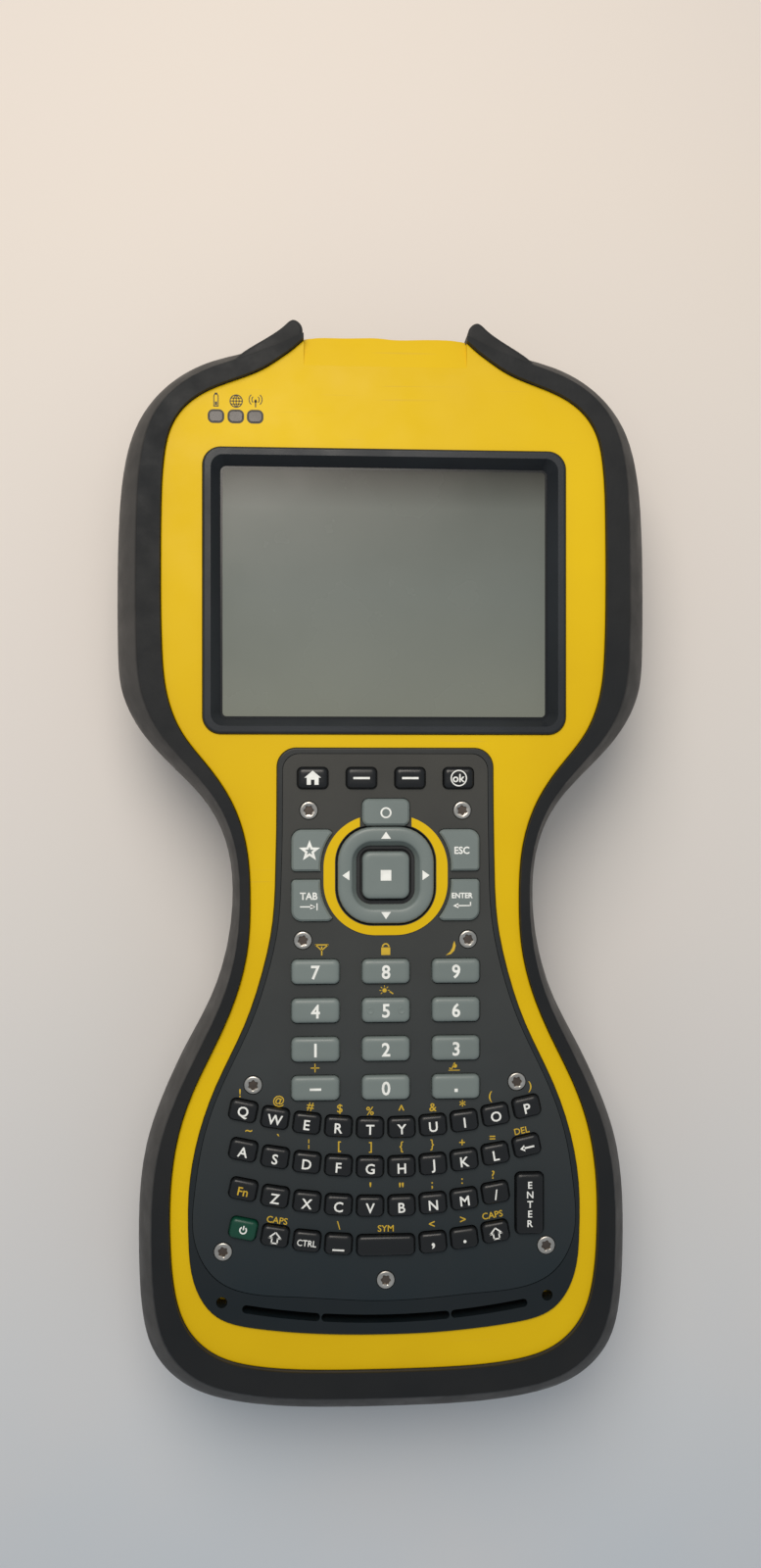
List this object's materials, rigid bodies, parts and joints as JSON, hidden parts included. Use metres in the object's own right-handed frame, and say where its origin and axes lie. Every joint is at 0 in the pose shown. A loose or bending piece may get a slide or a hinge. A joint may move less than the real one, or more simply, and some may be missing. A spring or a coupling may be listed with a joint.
{
  "type": "handheld data collector",
  "caption": "Rugged handheld data collector: waisted yellow case in a rubber bumper, framed touch screen, navigation ring, number and letter keys, rear battery door, stylus and end ports.",
  "frame": {"origin": "centre of the bounding box in plan, on the flat underside that it lies on", "axes": "+Y along the case towards the screen end, +X to the right as the keypad is read, +Z out of the screen"},
  "size_m": [0.14, 0.2822, 0.0477],
  "materials": {
    "bumper_rubber": "satin",
    "yellow_shell": "satin",
    "dark_shell": "fine texture",
    "bezel_plastic": "gloss",
    "plate_plastic": "satin",
    "screen_glass": "gloss",
    "display_panel": "matte",
    "seal_rubber": "matte",
    "grey_keys": "satin",
    "black_keys": "gloss",
    "green_key": "gloss",
    "silicone": "matte",
    "circuit_board": "satin",
    "steel": "brushed",
    "lens_plastic": "gloss",
    "speaker_plastic": "matte",
    "battery_wrap": "satin",
    "window_glass": "gloss",
    "stylus_plastic": "satin"
  },
  "bodies": {
    "case": {"bumper": "bumper_rubber", "front_housing": "yellow_shell", "rear_housing": "dark_shell", "antenna_cap": "dark_shell", "case_seal": "seal_rubber", "display_bezel": "bezel_plastic", "touch_panel": "screen_glass", "display_gasket": "seal_rubber", "lcd_module": "display_panel", "keypad_frame": "bezel_plastic", "keypad_plate": "plate_plastic", "keypad_mat": "silicone", "keypad_board": "circuit_board", "nav_trim_ring": "yellow_shell", "keypad_screws": "steel", "case_screws": "steel", "indicator_lenses": "lens_plastic", "main_board": "circuit_board", "speakers": "speaker_plastic", "battery_pack": "battery_wrap", "camera_windows": "window_glass", "strap_anchors": "steel", "connector_plate": "dark_shell", "io_connectors": "steel"},
    "start_key": {"start_key": "black_keys"},
    "left_soft_key": {"left_soft_key": "black_keys"},
    "right_soft_key": {"right_soft_key": "black_keys"},
    "ok_key": {"ok_key": "black_keys"},
    "camera_key": {"camera_key": "grey_keys"},
    "star_key": {"star_key": "grey_keys"},
    "tab_key": {"tab_key": "grey_keys"},
    "escape_key": {"escape_key": "grey_keys"},
    "side_enter_key": {"side_enter_key": "grey_keys"},
    "power_key": {"power_key": "green_key"},
    "space_key": {"space_key": "black_keys"},
    "enter_key": {"enter_key": "black_keys"},
    "number_key_7": {"number_key_7": "grey_keys"},
    "number_key_8": {"number_key_8": "grey_keys"},
    "number_key_9": {"number_key_9": "grey_keys"},
    "number_key_4": {"number_key_4": "grey_keys"},
    "number_key_5": {"number_key_5": "grey_keys"},
    "number_key_6": {"number_key_6": "grey_keys"},
    "number_key_1": {"number_key_1": "grey_keys"},
    "number_key_2": {"number_key_2": "grey_keys"},
    "number_key_3": {"number_key_3": "grey_keys"},
    "number_key_minus": {"number_key_minus": "grey_keys"},
    "number_key_0": {"number_key_0": "grey_keys"},
    "number_key_point": {"number_key_point": "grey_keys"},
    "letter_keys_row_1": {"letter_keys_row_1": "black_keys"},
    "letter_keys_row_2": {"letter_keys_row_2": "black_keys"},
    "letter_keys_row_3": {"letter_keys_row_3": "black_keys"},
    "letter_keys_row_4": {"letter_keys_row_4": "black_keys"},
    "nav_boot": {"nav_boot": "silicone"},
    "nav_ring": {"nav_ring": "grey_keys"},
    "select_key": {"select_key": "grey_keys"},
    "battery_door": {"battery_door": "dark_shell"},
    "left_latch": {"left_latch": "dark_shell"},
    "right_latch": {"right_latch": "dark_shell"},
    "stylus": {"stylus": "stylus_plastic"},
    "port_flap": {"port_flap": "seal_rubber"}
  },
  "joints": [
    {"name": "start_key_press", "type": "slide", "parent": "case", "child": "start_key", "axis": [0, 0, -1], "range_m": [0, 0.0008], "stiffness_N_per_m": 500},
    {"name": "left_soft_key_press", "type": "slide", "parent": "case", "child": "left_soft_key", "axis": [0, 0, -1], "range_m": [0, 0.0008], "stiffness_N_per_m": 500},
    {"name": "right_soft_key_press", "type": "slide", "parent": "case", "child": "right_soft_key", "axis": [0, 0, -1], "range_m": [0, 0.0008], "stiffness_N_per_m": 500},
    {"name": "ok_key_press", "type": "slide", "parent": "case", "child": "ok_key", "axis": [0, 0, -1], "range_m": [0, 0.0008], "stiffness_N_per_m": 500},
    {"name": "camera_key_press", "type": "slide", "parent": "case", "child": "camera_key", "axis": [0, 0, -1], "range_m": [0, 0.0008], "stiffness_N_per_m": 500},
    {"name": "star_key_press", "type": "slide", "parent": "case", "child": "star_key", "axis": [0, 0, -1], "range_m": [0, 0.0008], "stiffness_N_per_m": 500},
    {"name": "tab_key_press", "type": "slide", "parent": "case", "child": "tab_key", "axis": [0, 0, -1], "range_m": [0, 0.0008], "stiffness_N_per_m": 500},
    {"name": "escape_key_press", "type": "slide", "parent": "case", "child": "escape_key", "axis": [0, 0, -1], "range_m": [0, 0.0008], "stiffness_N_per_m": 500},
    {"name": "side_enter_key_press", "type": "slide", "parent": "case", "child": "side_enter_key", "axis": [0, 0, -1], "range_m": [0, 0.0008], "stiffness_N_per_m": 500},
    {"name": "power_key_press", "type": "slide", "parent": "case", "child": "power_key", "axis": [0, 0, -1], "range_m": [0, 0.0008], "stiffness_N_per_m": 500},
    {"name": "space_key_press", "type": "slide", "parent": "case", "child": "space_key", "axis": [0, 0, -1], "range_m": [0, 0.0008], "stiffness_N_per_m": 500},
    {"name": "enter_key_press", "type": "slide", "parent": "case", "child": "enter_key", "axis": [0, 0, -1], "range_m": [0, 0.0008], "stiffness_N_per_m": 500},
    {"name": "number_key_7_press", "type": "slide", "parent": "case", "child": "number_key_7", "axis": [0, 0, -1], "range_m": [0, 0.0008], "stiffness_N_per_m": 500},
    {"name": "number_key_8_press", "type": "slide", "parent": "case", "child": "number_key_8", "axis": [0, 0, -1], "range_m": [0, 0.0008], "stiffness_N_per_m": 500},
    {"name": "number_key_9_press", "type": "slide", "parent": "case", "child": "number_key_9", "axis": [0, 0, -1], "range_m": [0, 0.0008], "stiffness_N_per_m": 500},
    {"name": "number_key_4_press", "type": "slide", "parent": "case", "child": "number_key_4", "axis": [0, 0, -1], "range_m": [0, 0.0008], "stiffness_N_per_m": 500},
    {"name": "number_key_5_press", "type": "slide", "parent": "case", "child": "number_key_5", "axis": [0, 0, -1], "range_m": [0, 0.0008], "stiffness_N_per_m": 500},
    {"name": "number_key_6_press", "type": "slide", "parent": "case", "child": "number_key_6", "axis": [0, 0, -1], "range_m": [0, 0.0008], "stiffness_N_per_m": 500},
    {"name": "number_key_1_press", "type": "slide", "parent": "case", "child": "number_key_1", "axis": [0, 0, -1], "range_m": [0, 0.0008], "stiffness_N_per_m": 500},
    {"name": "number_key_2_press", "type": "slide", "parent": "case", "child": "number_key_2", "axis": [0, 0, -1], "range_m": [0, 0.0008], "stiffness_N_per_m": 500},
    {"name": "number_key_3_press", "type": "slide", "parent": "case", "child": "number_key_3", "axis": [0, 0, -1], "range_m": [0, 0.0008], "stiffness_N_per_m": 500},
    {"name": "number_key_minus_press", "type": "slide", "parent": "case", "child": "number_key_minus", "axis": [0, 0, -1], "range_m": [0, 0.0008], "stiffness_N_per_m": 500},
    {"name": "number_key_0_press", "type": "slide", "parent": "case", "child": "number_key_0", "axis": [0, 0, -1], "range_m": [0, 0.0008], "stiffness_N_per_m": 500},
    {"name": "number_key_point_press", "type": "slide", "parent": "case", "child": "number_key_point", "axis": [0, 0, -1], "range_m": [0, 0.0008], "stiffness_N_per_m": 500},
    {"name": "letter_keys_row_1_press", "type": "slide", "parent": "case", "child": "letter_keys_row_1", "axis": [0, 0, -1], "range_m": [0, 0.0008], "stiffness_N_per_m": 1500},
    {"name": "letter_keys_row_2_press", "type": "slide", "parent": "case", "child": "letter_keys_row_2", "axis": [0, 0, -1], "range_m": [0, 0.0008], "stiffness_N_per_m": 1500},
    {"name": "letter_keys_row_3_press", "type": "slide", "parent": "case", "child": "letter_keys_row_3", "axis": [0, 0, -1], "range_m": [0, 0.0008], "stiffness_N_per_m": 1500},
    {"name": "letter_keys_row_4_press", "type": "slide", "parent": "case", "child": "letter_keys_row_4", "axis": [0, 0, -1], "range_m": [0, 0.0008], "stiffness_N_per_m": 1500},
    {"name": "nav_rock_sideways", "type": "hinge", "parent": "case", "child": "nav_boot", "pos_m": [0, -0.0001, 0.0443], "axis": [0, 1, 0], "range_deg": [-2.5, 2.5], "stiffness_Nm_per_rad": 0.3},
    {"name": "nav_rock_lengthways", "type": "hinge", "parent": "nav_boot", "child": "nav_ring", "pos_m": [0, -0.0001, 0.0452], "axis": [1, 0, 0], "range_deg": [-2.5, 2.5], "stiffness_Nm_per_rad": 0.3},
    {"name": "select_key_press", "type": "slide", "parent": "case", "child": "select_key", "axis": [0, 0, -1], "range_m": [0, 0.0008], "stiffness_N_per_m": 500},
    {"name": "battery_door_hinge", "type": "hinge", "parent": "case", "child": "battery_door", "pos_m": [0, -0.1179, 0.0024], "axis": [-1, 0, 0], "range_deg": [0, 110]},
    {"name": "left_latch_slide", "type": "slide", "parent": "battery_door", "child": "left_latch", "axis": [1, 0, 0], "range_m": [0, 0.004], "stiffness_N_per_m": 60},
    {"name": "right_latch_slide", "type": "slide", "parent": "battery_door", "child": "right_latch", "axis": [-1, 0, 0], "range_m": [0, 0.004], "stiffness_N_per_m": 60},
    {"name": "stylus_slide", "type": "slide", "parent": "case", "child": "stylus", "axis": [0, 1, 0], "range_m": [0, 0.115]},
    {"name": "port_flap_hinge", "type": "hinge", "parent": "case", "child": "port_flap", "pos_m": [0.0215, -0.1338, 0.0096], "axis": [1, 0, 0], "range_deg": [0, 95]}
  ]
}
